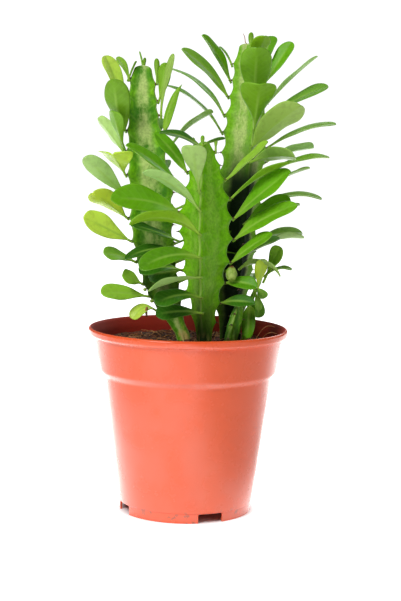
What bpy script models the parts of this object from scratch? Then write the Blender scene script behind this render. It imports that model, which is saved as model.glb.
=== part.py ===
"""A three-stemmed African milk tree (Euphorbia trigona) in a 13 cm round nursery pot.

Metres, +Z up. The front of the plant faces -Y. The origin is the middle of the underside of the whole plant's box.
"""

from math import cos, pi, radians, sin

import bpy
import numpy as np

MM = 0.001
GAP = 0.3  # mm of air between two pieces that touch
POT_AXIS = (-13.1, 0)  # mm, where the pot's axis stands in the plan

# The pot, as (radius, height) in mm.
POT_STEPS = 48
OUTSIDE = (
    (63.9, 120.5), (65.0, 119.4), (65.0, 116.6), (63.6, 115.2), (61.3, 114.6),
    (58.0, 92.6), (54.8, 89.0), (43.9, 6.6), (43.3, 6.2), (43.3, 0),
)
INSIDE = (
    (62.4, 119.2), (60.1, 114.6), (56.8, 93.0), (53.6, 89.4), (42.9, 9.0), (41.4, 7.6),
)
FOOT_WALL = 1.3
BASE_UNDERSIDE = 6.4
BASE_TOP = 7.6
NOTCH_AZIMUTHS = (-67, 23, 113, 203)
NOTCH_SIZE = (8, 16.5, 12)  # across the foot ring, along it, and high, half of it below the pot
DRAIN_RADIUS = 3.6
DRAIN_CENTRE = 34

SOIL_TOP = 110.5
SOIL_DOME = 1.2

# Each stem has three ribs, at azimuths in degrees (0 faces the front, 90 the right), and
# sections (height, axis x, axis y, reach of the ribs) in mm from the pot's axis.
STEMS = {
    "stem_front": (
        (-12, 110, -118),
        (
            (108, 10.5, -11, 5.5), (116, 10.5, -11, 6.5), (128, 10, -11, 9), (140, 9.8, -11, 11.8),
            (153, 9.8, -11, 15), (166, 10, -11, 18.2), (183, 10, -11, 20), (196, 9.5, -11, 19),
            (209, 9, -11, 16.5), (220, 8.8, -11, 13), (230, 8.5, -11, 9.3), (240, 8.2, -11, 4.5),
        ),
    ),
    "stem_left": (
        (-60, 60, 180),
        (
            (108, -1, 12, 5.5), (114.5, -4, 12, 6), (121, -7.5, 12, 7), (135.5, -14.5, 12, 11.5),
            (146, -17.6, 12, 14), (160, -21.2, 12, 15.6), (185, -25.6, 12, 16.8), (206, -26, 12, 17.5),
            (233, -29, 12, 15.5), (259, -32, 12, 12), (278, -32.7, 12, 10), (287, -32.5, 12, 7.2),
        ),
    ),
    "stem_right": (
        (-109, 11, 131),
        (
            (108, 28.5, 20, 8), (116, 28.5, 20, 9), (135, 29.2, 20, 13), (162, 30.8, 20, 16.5),
            (194, 33, 20, 17.7), (225, 35.2, 20, 17.8), (248, 36.8, 20, 17.4), (258, 37, 20, 16.6),
            (270, 37, 20, 14.2), (280, 36.6, 20, 12.2), (292, 35.8, 20, 10.4), (303, 35.2, 20, 6.5),
        ),
    ),
    "side_shoot": (
        (0, 100, 230),
        (
            (108, 36.5, 4, 2.4), (128, 38.5, 4, 2.3), (140, 41.5, 3.5, 2), (149, 45.5, 3.2, 1.7),
            (158, 48.5, 3, 1.4),
        ),
    ),
    "base_shoot": (
        (-20, 100, 220),
        ((108, 27.5, -7, 4.4), (117, 28, -7, 5.4), (125, 30, -6.5, 5.2), (131, 31.5, -6, 4.4), (136, 32.5, -6, 2.8)),
    ),
}

# The heights of the areoles, the small cushions on the ribs that carry spines and leaves.
AREOLES = {
    "stem_front": (
        (132.5, 143, 156, 169, 184.5, 199.5, 211, 222, 232),
        (125, 137.5, 150.5, 164, 179, 192.5, 205.5, 217.5, 226.5, 235),
        (130, 145, 158, 170.5, 183, 196, 210.5, 222, 233),
    ),
    "stem_left": (
        (130, 139.5, 148, 162.5, 176, 191, 205, 219, 234, 247.5, 260, 271, 281),
        (138, 150, 163, 175, 187, 197, 208, 219.5, 235.5, 247, 257.5, 267, 277.5),
        (132, 145, 158, 171, 184, 197, 210, 223, 236, 249, 262, 274, 283),
    ),
    "stem_right": (
        (130, 143, 156, 169, 182, 195, 208, 221, 234, 247.5, 259, 271, 281.5, 292),
        (130, 145, 160, 175, 189.5, 202, 215, 229, 239.5, 249.5, 259, 268.5, 279, 289, 298),
        (132, 144, 156, 168, 177, 189, 200, 210, 219, 228, 237.5, 247, 256, 266.5, 279.5, 290),
    ),
    "side_shoot": ((119, 129), (123, 134), (126, 137)),
    "base_shoot": ((115, 124, 131), (118, 127), (114, 122, 129)),
}
SECTION_STEP = 4.6  # mm between two sections of a stem
# How far a rib's edge draws in between two areoles, as a part of its reach.
SCALLOP = {"stem_front": 0.19, "stem_left": 0.14, "stem_right": 0.14, "side_shoot": 0.13, "base_shoot": 0.13}
RIB_EDGE = 0.77  # half the thickness of a rib's edge
RIB_EDGE_MOST = 0.2  # the same at a thin tip, as a part of the reach
FLANK_AT = 0.6  # where a rib's flanks are measured, as a part of its reach
FLANK_SPREAD = 0.09  # how much thicker a rib is there, as a part of its reach
VALLEY = 0.4  # depth of the hollow between two ribs, as a part of their reach
TIP_SIZE = 0.55  # the closing section above a stem's last, as a part of that one
TIP_RISE = 0.3  # its height above it, as a part of the reach

# Each leaf: stem, rib, height of its areole, then azimuth and elevation of its chord, length, width,
# how far it bends over along its length, and its roll about its own midrib. Degrees and mm.
LEAVES = {
    "left_leaf_01": ("stem_left", 0, 260, -131, 62, 40, 13, 10, 10),
    "left_leaf_02": ("stem_left", 0, 247.5, -22, 62, 36.5, 17.5, -45, 0),
    "left_leaf_03": ("stem_left", 0, 232.5, -112, 49, 29.5, 15, 8, -50),
    "left_leaf_04": ("stem_left", 0, 235.5, -21, 53, 30, 12, -10, 15),
    "left_leaf_05": ("stem_left", 0, 219, -34, 42, 21, 28, 15, 0),
    "left_leaf_06": ("stem_left", 0, 205, -60, 40, 39, 13.5, 4, -50),
    "left_leaf_07": ("stem_left", 0, 191, -52, 31, 32, 17, 10, -30),
    "left_leaf_08": ("stem_left", 0, 176, -64, 26, 36, 17.5, 0, 60),
    "left_leaf_09": ("stem_left", 0, 162.5, -60, 15, 23, 11.5, 20, 45),
    "left_leaf_10": ("stem_left", 0, 139.5, -68, 6, 32, 13, 10, 50),
    "left_leaf_11": ("stem_left", 1, 257.5, 28, 67, 42, 6.5, 45, 80),
    "left_leaf_12": ("stem_left", 1, 247, 33, 56, 36.5, 7.5, 45, 75),
    "left_leaf_13": ("stem_left", 1, 235.5, 112, 39, 39.5, 12, 35, 30),
    "front_leaf_01": ("stem_front", 0, 211, -12, 52, 36, 16, 5, 0),
    "front_leaf_02": ("stem_front", 2, 222, -92, 49, 32, 11, 15, 50),
    "front_leaf_03": ("stem_front", 2, 210.5, -62, 35, 48.5, 14, 25, 40),
    "front_leaf_04": ("stem_front", 0, 199.5, -61, 31, 45.5, 13, 35, -25),
    "front_leaf_05": ("stem_front", 2, 196, -65, 9.5, 47, 19.5, 30, 55),
    "front_leaf_06": ("stem_front", 0, 184.5, -66, 7, 47, 14, 68, -35),
    "front_leaf_07": ("stem_front", 2, 170.5, -62, -7, 38, 11, 40, 25),
    "front_leaf_08": ("stem_front", 0, 169, -62, -9, 41, 14, 50, 45),
    "front_leaf_09": ("stem_front", 0, 156, -62, -12, 36, 12, 25, -30),
    "front_leaf_10": ("stem_front", 0, 143, -62, -6, 31, 14, 45, 35),
    "front_leaf_11": ("stem_front", 0, 132.5, -74, -2, 29, 12, 25, 45),
    "front_leaf_12": ("stem_front", 1, 217.5, 62, 41, 38, 11, -5, -40),
    "front_leaf_13": ("stem_front", 1, 205.5, 64, 31, 46, 10.5, 25, 10),
    "front_leaf_14": ("stem_front", 1, 192.5, 66, 40, 49, 18, 10, -50),
    "front_leaf_15": ("stem_front", 1, 179, 66, 29, 48, 15, 25, -50),
    "front_leaf_16": ("stem_front", 1, 164, 64, 35, 34, 13, 15, -45),
    "front_leaf_17": ("stem_front", 1, 150.5, 60, -4, 22, 11, 35, -45),
    "front_leaf_18": ("stem_front", 1, 137.5, 60, 3, 24, 10, 25, -45),
    "right_leaf_01": ("stem_right", 0, 281.5, -66, 54, 35, 12, 20, 50),
    "right_leaf_02": ("stem_right", 0, 271, -80, 44, 43, 12, 25, 45),
    "right_leaf_03": ("stem_right", 0, 259, -104, 38, 48, 9, 48, 10),
    "right_leaf_04": ("stem_right", 0, 247.5, -96, 39, 47, 9, 42, 5),
    "right_leaf_05": ("stem_right", 1, 289, 22, 48, 26.5, 13, 0, 0),
    "right_leaf_06": ("stem_right", 1, 268.5, 0, 56, 39, 20.5, 5, 0),
    "right_leaf_07": ("stem_right", 1, 249.5, 3, 44, 41, 23, 5, 0),
    "right_leaf_08": ("stem_right", 2, 279.5, 112, 55, 34, 12, 0, -35),
    "right_leaf_09": ("stem_right", 2, 266.5, 97, 44, 46, 10, 12, 20),
    "right_leaf_10": ("stem_right", 2, 256, 99, 30, 46, 12, 25, -30),
    "right_leaf_11": ("stem_right", 1, 239.5, 54, 36, 44, 23.5, 15, 26),
    "right_leaf_12": ("stem_right", 2, 237.5, 88, 20, 48, 12, 30, -16),
    "right_leaf_13": ("stem_right", 2, 228, 105, 17, 34.5, 13, 30, 28),
    "right_leaf_14": ("stem_right", 1, 229, 54, 7, 33, 15, 30, 40),
    "right_leaf_15": ("stem_right", 2, 219, 92, 16.5, 44.5, 11, 38, -15),
    "right_leaf_16": ("stem_right", 2, 200, 100, 5, 41, 10, 45, -18),
    "right_leaf_17": ("stem_right", 1, 189.5, 78, 27, 32.5, 15, 30, -40),
    "right_leaf_18": ("stem_right", 2, 177, 110, 6, 32, 12, 20, -30),
    "right_leaf_19": ("stem_right", 1, 160, 64, -9, 28, 10, 95, 30),
    "shoot_leaf_01": ("side_shoot", 1, 152, 70, 65, 24.5, 11.5, 0, -68),
    "shoot_leaf_02": ("side_shoot", 0, 135, -20, -80, 21, 9.4, 10, 0),
}
# Width along a leaf, as parts of its length and of its full width.
SPOON = (
    (0, 0.09), (0.14, 0.11), (0.3, 0.34), (0.48, 0.7), (0.66, 0.98), (0.8, 0.96), (0.93, 0.62), (1, 0.1),
)
BROAD_TIP = (
    (0, 0.07), (0.14, 0.1), (0.3, 0.28), (0.48, 0.56), (0.66, 0.84), (0.84, 1), (0.95, 0.8), (1, 0.3),
)
BROAD_TIPPED = ("left_leaf_04", "left_leaf_05", "front_leaf_01", "right_leaf_07", "shoot_leaf_01")
LEAF_THICKNESS = 0.9
LEAF_FOLD = 0.22  # how far the edges rise above the midrib, as a part of the half width
LEAF_START = 1.2  # mm from the rib's edge to the middle of the leaf's first section

BUD_CENTRE = (27.2, -11.4, 157)
BUD_SIZE = (3.7, 3.7, 5)

COLOURS = {
    "pot": (0.75, 0.17, 0.07),
    "soil": (0.06, 0.03, 0.017),
    "stem": (0.13, 0.3, 0.05),
    "leaf": (0.11, 0.31, 0.02),
    "bud": (0.34, 0.5, 0.09),
}
ROUGHNESS = {"pot": 0.25, "soil": 0.95, "stem": 0.5, "leaf": 0.4, "bud": 0.5}


def clear_scene():
    for obj in list(bpy.data.objects):
        bpy.data.objects.remove(obj)


def new_collection(name, helpers=False):
    found = bpy.data.collections.new(name)
    bpy.context.scene.collection.children.link(found)
    found.hide_render = helpers
    return found


def new_material(name):
    material = bpy.data.materials.new(name)
    material.use_nodes = True
    shader = material.node_tree.nodes["Principled BSDF"]
    shader.inputs["Base Color"].default_value = (*COLOURS[name], 1)
    shader.inputs["Roughness"].default_value = ROUGHNESS[name]
    return material


def new_object(name, points, faces, collection, material):
    """An object from points in mm about the pot's axis."""
    mesh = bpy.data.meshes.new(name)
    shift = np.array([*POT_AXIS, 0])
    mesh.from_pydata([tuple((np.array(p) + shift) * MM) for p in points], [], faces)
    mesh.materials.append(material)
    obj = bpy.data.objects.new(name, mesh)
    collection.objects.link(obj)
    return obj


def turned(name, profile, collection, material):
    """A body turned about the pot's axis from a profile that runs from top to bottom outside."""
    mesh = bpy.data.meshes.new(name)
    points = [(radius * MM, 0, height * MM) for radius, height in profile]
    mesh.from_pydata(points, [(i, i + 1) for i in range(len(points) - 1)], [])
    mesh.materials.append(material)
    obj = bpy.data.objects.new(name, mesh)
    obj.location = (POT_AXIS[0] * MM, POT_AXIS[1] * MM, 0)
    collection.objects.link(obj)
    screw = obj.modifiers.new("turn", "SCREW")
    screw.axis = "Z"
    screw.steps = POT_STEPS
    screw.render_steps = POT_STEPS
    screw.use_merge_vertices = True
    screw.merge_threshold = 0.00005
    screw.use_normal_calculate = True
    return obj


def cut(obj, cutter):
    boolean = obj.modifiers.new("cut", "BOOLEAN")
    boolean.operation = "DIFFERENCE"
    boolean.solver = "EXACT"
    boolean.object = cutter


def helper(obj, name, collection):
    for other in list(obj.users_collection):
        other.objects.unlink(obj)
    collection.objects.link(obj)
    obj.name = name
    obj.display_type = "WIRE"
    obj.hide_render = True
    return obj


def pot(collection, helpers, material):
    profile = [(0, BASE_TOP)] + list(reversed(INSIDE)) + list(OUTSIDE)
    inner_foot = OUTSIDE[-1][0] - FOOT_WALL
    profile += [(inner_foot, 0), (inner_foot, BASE_UNDERSIDE), (0, BASE_UNDERSIDE)]
    obj = turned("pot", profile, collection, material)
    for number, azimuth in enumerate(NOTCH_AZIMUTHS):
        a = radians(azimuth)
        out = np.array([sin(a), -cos(a), 0])
        middle = np.array([*POT_AXIS, 0]) + out * (OUTSIDE[-1][0] - FOOT_WALL / 2)
        bpy.ops.mesh.primitive_cube_add(size=1, location=middle * MM, rotation=(0, 0, a - pi / 2))
        notch = helper(bpy.context.object, f"notch_cutter_{number}", helpers)
        notch.scale = [side * MM for side in NOTCH_SIZE]
        cut(obj, notch)
        middle = np.array([*POT_AXIS, BASE_TOP]) + out * DRAIN_CENTRE
        bpy.ops.mesh.primitive_cylinder_add(
            vertices=20, radius=DRAIN_RADIUS * MM, depth=6 * MM, location=middle * MM
        )
        cut(obj, helper(bpy.context.object, f"drain_cutter_{number}", helpers))
    return obj


def soil(collection, material):
    profile = [(0, SOIL_TOP + SOIL_DOME), (30, SOIL_TOP + 0.8 * SOIL_DOME)]
    wall = [(radius - GAP, height) for radius, height in INSIDE[1:]]
    top_radius = np.interp(SOIL_TOP, [INSIDE[2][1], INSIDE[1][1]], [INSIDE[2][0], INSIDE[1][0]]) - GAP
    profile += [(top_radius, SOIL_TOP)] + wall[1:-1]
    profile += [(INSIDE[-1][0] - GAP, BASE_TOP + 2 * GAP), (0, BASE_TOP + GAP)]
    return turned("soil", profile, collection, material)


def at_height(stem, z):
    """The stem's axis x and y and the reach of its ribs."""
    sections = np.array(STEMS[stem][1], float)
    return [float(np.interp(z, sections[:, 0], sections[:, i])) for i in (1, 2, 3)]


def rib_point(stem, rib, z, beyond):
    x, y, reach = at_height(stem, z)
    a = radians(STEMS[stem][0][rib])
    return np.array([x + (reach + beyond) * sin(a), y - (reach + beyond) * cos(a), z])


def scalloped(stem, rib, z, reach):
    """The rib's reach, drawn in between its areoles."""
    heights = AREOLES[stem][rib]
    nearest = min(abs(z - height) for height in heights)
    spacing = (heights[-1] - heights[0]) / (len(heights) - 1)
    return reach * (1 - SCALLOP[stem] * sin(min(nearest / spacing, 0.5) * pi) ** 1.5)


def stem_section(stem, z):
    """Points about the stem at one height: each rib's edge, its flank and the hollow after it."""
    x, y, reach = at_height(stem, z)
    points = []
    for rib, azimuth in enumerate(STEMS[stem][0]):
        a = radians(azimuth)
        after = sorted((other - azimuth) % 360 for other in STEMS[stem][0])[1]
        out = np.array([sin(a), -cos(a)])
        across = np.array([cos(a), sin(a)])
        edge = scalloped(stem, rib, z, reach)
        half = min(RIB_EDGE, RIB_EDGE_MOST * reach)
        flank = half + FLANK_SPREAD * reach
        valley = radians(azimuth + after / 2)
        ring = [
            out * FLANK_AT * edge - across * flank,
            out * edge - across * half,
            out * edge + across * half,
            out * FLANK_AT * edge + across * flank,
            np.array([sin(valley), -cos(valley)]) * VALLEY * reach,
        ]
        points += [(x + p[0], y + p[1], z) for p in ring]
    return points


def ring_order(stem):
    """The ribs from the front round to the right, so that the rings run one way."""
    azimuths = STEMS[stem][0]
    return sorted(range(3), key=lambda rib: azimuths[rib] % 360)


def loft(rings):
    """Faces between rings of equal size, closed at both ends. The rings run anticlockwise from above."""
    size = len(rings[0])
    faces = [tuple(range(size))[::-1]]
    for k in range(len(rings) - 1):
        for i in range(size):
            j = (i + 1) % size
            a, b = k * size, (k + 1) * size
            faces.append((a + i, a + j, b + j, b + i))
    last = (len(rings) - 1) * size
    faces.append(tuple(last + i for i in range(size)))
    return [p for ring in rings for p in ring], faces


def stem(name, collection, material):
    sections = STEMS[name][1]
    foot = SOIL_TOP + SOIL_DOME + GAP
    tip = sections[-1][0]
    count = max(4, round((tip - foot) / SECTION_STEP))
    order = ring_order(name)
    rings = []
    for z in np.linspace(foot, tip, count):
        points = stem_section(name, z)
        rings.append([p for rib in order for p in points[rib * 5 : rib * 5 + 5]])
    x, y, reach = at_height(name, tip)
    rise = TIP_RISE * reach
    rings.append([(x + (p[0] - x) * TIP_SIZE, y + (p[1] - y) * TIP_SIZE, tip + rise) for p in rings[-1]])
    points, faces = loft(rings)
    return new_object(name, points, faces, collection, material)


def leaf_frames(start, azimuth, elevation, length, bend, roll, stations):
    """(centre, side, upper normal) at each station of a leaf that bends evenly."""
    a, r = radians(azimuth), radians(roll)
    level = np.array([sin(a), -cos(a), 0])
    up = np.array([0, 0, 1])
    side = np.array([-cos(a), -sin(a), 0])
    arc = length / np.sinc(radians(bend) / 2 / pi)
    centre, last, frames = np.array(start, float), 0, []
    for t in stations:
        middle = radians(elevation + bend * (0.5 - (t + last) / 2))
        centre = centre + (t - last) * arc * (level * cos(middle) + up * sin(middle))
        e = radians(elevation + bend * (0.5 - t))
        normal = np.cross(side, level * cos(e) + up * sin(e))
        frames.append((centre, side * cos(r) + normal * sin(r), normal * cos(r) - side * sin(r)))
        last = t
    return frames


def leaf(name, collection, material):
    stem_name, rib, height, azimuth, elevation, length, width, bend, roll = LEAVES[name]
    outline = BROAD_TIP if name in BROAD_TIPPED else SPOON
    start = rib_point(stem_name, rib, height, LEAF_START)
    frames = leaf_frames(start, azimuth, elevation, length, bend, roll, [t for t, _ in outline])
    rings = []
    for (_, part), (centre, side, normal) in zip(outline, frames):
        half = width / 2 * part
        lift = normal * half * LEAF_FOLD
        thick = normal * LEAF_THICKNESS / 2
        rings.append([centre + side * half + lift, centre - thick, centre - side * half + lift, centre + thick])
    points, faces = loft(rings)
    return new_object(name, points, faces, collection, material)


def bud(collection, material):
    centre = np.array([POT_AXIS[0] + BUD_CENTRE[0], POT_AXIS[1] + BUD_CENTRE[1], BUD_CENTRE[2]])
    bpy.ops.mesh.primitive_ico_sphere_add(subdivisions=2, radius=1, location=centre * MM)
    obj = bpy.context.object
    obj.name = "bud"
    obj.scale = [side * MM for side in BUD_SIZE]
    for other in list(obj.users_collection):
        other.objects.unlink(obj)
    collection.objects.link(obj)
    obj.data.materials.append(material)
    return obj


def main():
    clear_scene()
    plant = new_collection("potted_euphorbia")
    helpers = new_collection("cutters", helpers=True)
    materials = {name: new_material(name) for name in COLOURS}
    pot(plant, helpers, materials["pot"])
    soil(plant, materials["soil"])
    for name in STEMS:
        stem(name, plant, materials["stem"])
    for name in LEAVES:
        leaf(name, plant, materials["leaf"])
    bud(plant, materials["bud"])


main()
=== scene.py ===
"""The looks of a three-stemmed African milk tree in its nursery pot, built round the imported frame."""

from math import cos, pi, radians, sin

import bpy
import numpy as np
from mathutils import Matrix, Vector, noise

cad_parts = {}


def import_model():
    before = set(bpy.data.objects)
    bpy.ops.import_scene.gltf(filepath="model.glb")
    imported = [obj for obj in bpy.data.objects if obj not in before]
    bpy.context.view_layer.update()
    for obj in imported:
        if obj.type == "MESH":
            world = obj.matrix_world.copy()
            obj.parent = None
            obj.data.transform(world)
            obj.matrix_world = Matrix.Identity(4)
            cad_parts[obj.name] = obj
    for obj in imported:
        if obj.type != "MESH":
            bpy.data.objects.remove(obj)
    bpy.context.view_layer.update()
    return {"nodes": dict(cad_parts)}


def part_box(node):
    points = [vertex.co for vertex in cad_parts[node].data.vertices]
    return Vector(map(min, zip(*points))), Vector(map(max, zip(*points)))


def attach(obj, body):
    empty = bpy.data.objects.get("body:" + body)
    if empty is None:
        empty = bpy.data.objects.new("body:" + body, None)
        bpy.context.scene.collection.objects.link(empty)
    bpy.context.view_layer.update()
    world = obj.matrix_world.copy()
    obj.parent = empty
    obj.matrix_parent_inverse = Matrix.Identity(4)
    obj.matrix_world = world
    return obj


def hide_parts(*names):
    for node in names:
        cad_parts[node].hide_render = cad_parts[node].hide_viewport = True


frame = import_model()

MM = 0.001
SEED = 5
POT_LOW, POT_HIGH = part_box("pot")
POT_AXIS = np.array([(POT_LOW.x + POT_HIGH.x) / 2, (POT_LOW.y + POT_HIGH.y) / 2, 0]) / MM

# The camera, in mm from the foot of the pot's axis.
CAMERA_PLACE = (7.7, -993, 257.3)
CAMERA_PITCH = 6.85  # degrees below level
CAMERA_ROLL = 1.15
CAMERA_LENS = 91.77

# The pot, as (radius, height, corner radius) in mm.
POT_STEPS = 240
POT_OUTSIDE = (
    (63.9, 120.5, 0.9), (65.0, 119.4, 0.6), (65.0, 116.6, 0.9), (63.6, 115.2, 0.5), (61.3, 114.6, 0.7),
    (58.0, 92.6, 1.2), (54.8, 89.0, 1.2), (43.9, 6.6, 0.3), (43.3, 6.2, 0.2), (43.3, 0, 0.3),
)
POT_INSIDE = (
    (62.4, 119.2, 1), (60.1, 114.6, 2), (56.8, 93.0, 1), (53.6, 89.4, 1), (42.9, 9.0, 1), (41.4, 7.6, 0.5),
)
INSIDE_SLOPE = 0.152  # how fast the collar's inner wall widens with height
INSIDE_AT = 0.0434  # m, where the middle of the collar's wall would meet the ground
FOOT_WALL = 1.3
BASE_UNDERSIDE = 6.4
BASE_TOP = 7.6
NOTCH_AZIMUTHS = (-67, 23, 113, 203)
NOTCH_SIZE = (8, 16.5, 12)
NOTCH_CORNER = 0.9
DRAIN_RADIUS = 3.6
DRAIN_CENTRE = 34

SOIL_TOP = 110.5
SOIL_RADIUS = 59.1
SOIL_RELIEF = 1.3  # mm, how far its surface rises and falls
SOIL_RINGS = 56
SOIL_STEPS = 160
SOIL_UNDER = ((56.4, 93), (53.2, 89.4), (42.5, 9.4), (41, 8.2), (1, 8.2))  # its sides and base

# Each stem has three ribs, at azimuths in degrees (0 faces the front, 90 the right), and
# sections (height, axis x, axis y, reach of the ribs) in mm from the pot's axis.
STEMS = {
    "stem_front": (
        (-12, 110, -118),
        (
            (105, 10.5, -11, 5.5), (116, 10.5, -11, 6.5), (128, 10, -11, 9), (140, 9.8, -11, 11.8),
            (153, 9.8, -11, 15), (166, 10, -11, 18.2), (183, 10, -11, 20), (196, 9.5, -11, 19),
            (209, 9, -11, 16.5), (220, 8.8, -11, 13), (230, 8.5, -11, 9.3), (240, 8.2, -11, 4.5),
        ),
    ),
    "stem_left": (
        (-60, 60, 180),
        (
            (105, -1, 12, 5.5), (114.5, -4, 12, 6), (121, -7.5, 12, 7), (135.5, -14.5, 12, 11.5),
            (146, -17.6, 12, 14), (160, -21.2, 12, 15.6), (185, -25.6, 12, 16.8), (206, -26, 12, 17.5),
            (233, -29, 12, 15.5), (259, -32, 12, 12), (278, -32.7, 12, 10), (287, -32.5, 12, 7.2),
        ),
    ),
    "stem_right": (
        (-109, 11, 131),
        (
            (105, 28.5, 20, 8), (116, 28.5, 20, 9), (135, 29.2, 20, 13), (162, 30.8, 20, 16.5),
            (194, 33, 20, 17.7), (225, 35.2, 20, 17.8), (248, 36.8, 20, 17.4), (258, 37, 20, 16.6),
            (270, 37, 20, 14.2), (280, 36.6, 20, 12.2), (292, 35.8, 20, 10.4), (303, 35.2, 20, 6.5),
        ),
    ),
    "side_shoot": (
        (0, 100, 230),
        (
            (108, 36.5, 4, 2.4), (128, 38.5, 4, 2.3), (140, 41.5, 3.5, 2), (149, 45.5, 3.2, 1.7),
            (158, 48.5, 3, 1.4),
        ),
    ),
    "base_shoot": (
        (-20, 100, 220),
        (
            (108, 27.5, -7, 4.4), (117, 28, -7, 5.4), (125, 30, -6.5, 5.2), (131, 31.5, -6, 4.4),
            (136, 32.5, -6, 2.8),
        ),
    ),
}
AREOLES = {
    "stem_front": (
        (132.5, 143, 156, 169, 184.5, 199.5, 211, 222, 232),
        (125, 137.5, 150.5, 164, 179, 192.5, 205.5, 217.5, 226.5, 235),
        (130, 145, 158, 170.5, 183, 196, 210.5, 222, 233),
    ),
    "stem_left": (
        (130, 139.5, 148, 162.5, 176, 191, 205, 219, 234, 247.5, 260, 271, 281),
        (138, 150, 163, 175, 187, 197, 208, 219.5, 235.5, 247, 257.5, 267, 277.5),
        (132, 145, 158, 171, 184, 197, 210, 223, 236, 249, 262, 274, 283),
    ),
    "stem_right": (
        (130, 143, 156, 169, 182, 195, 208, 221, 234, 247.5, 259, 271, 281.5, 292),
        (130, 145, 160, 175, 189.5, 202, 215, 229, 239.5, 249.5, 259, 268.5, 279, 289, 298),
        (132, 144, 156, 168, 177, 189, 200, 210, 219, 228, 237.5, 247, 256, 266.5, 279.5, 290),
    ),
    "side_shoot": ((119, 129), (123, 134), (126, 137)),
    "base_shoot": ((115, 124, 131), (118, 127), (114, 122, 129)),
}
STEM_STEP = 1.1  # mm between two sections
RIB_EDGE = 0.77  # mm, half the thickness of a rib's edge
FLANK_SPREAD = 0.09
# How far a rib's edge draws in between two areoles, as a part of its reach.
SCALLOP = {
    "stem_front": 0.19, "stem_left": 0.14, "stem_right": 0.14, "side_shoot": 0.13, "base_shoot": 0.13,
}
VALLEY = 0.4
ROUND_BELOW = 126  # mm, under which the old stems turn rounder

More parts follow.
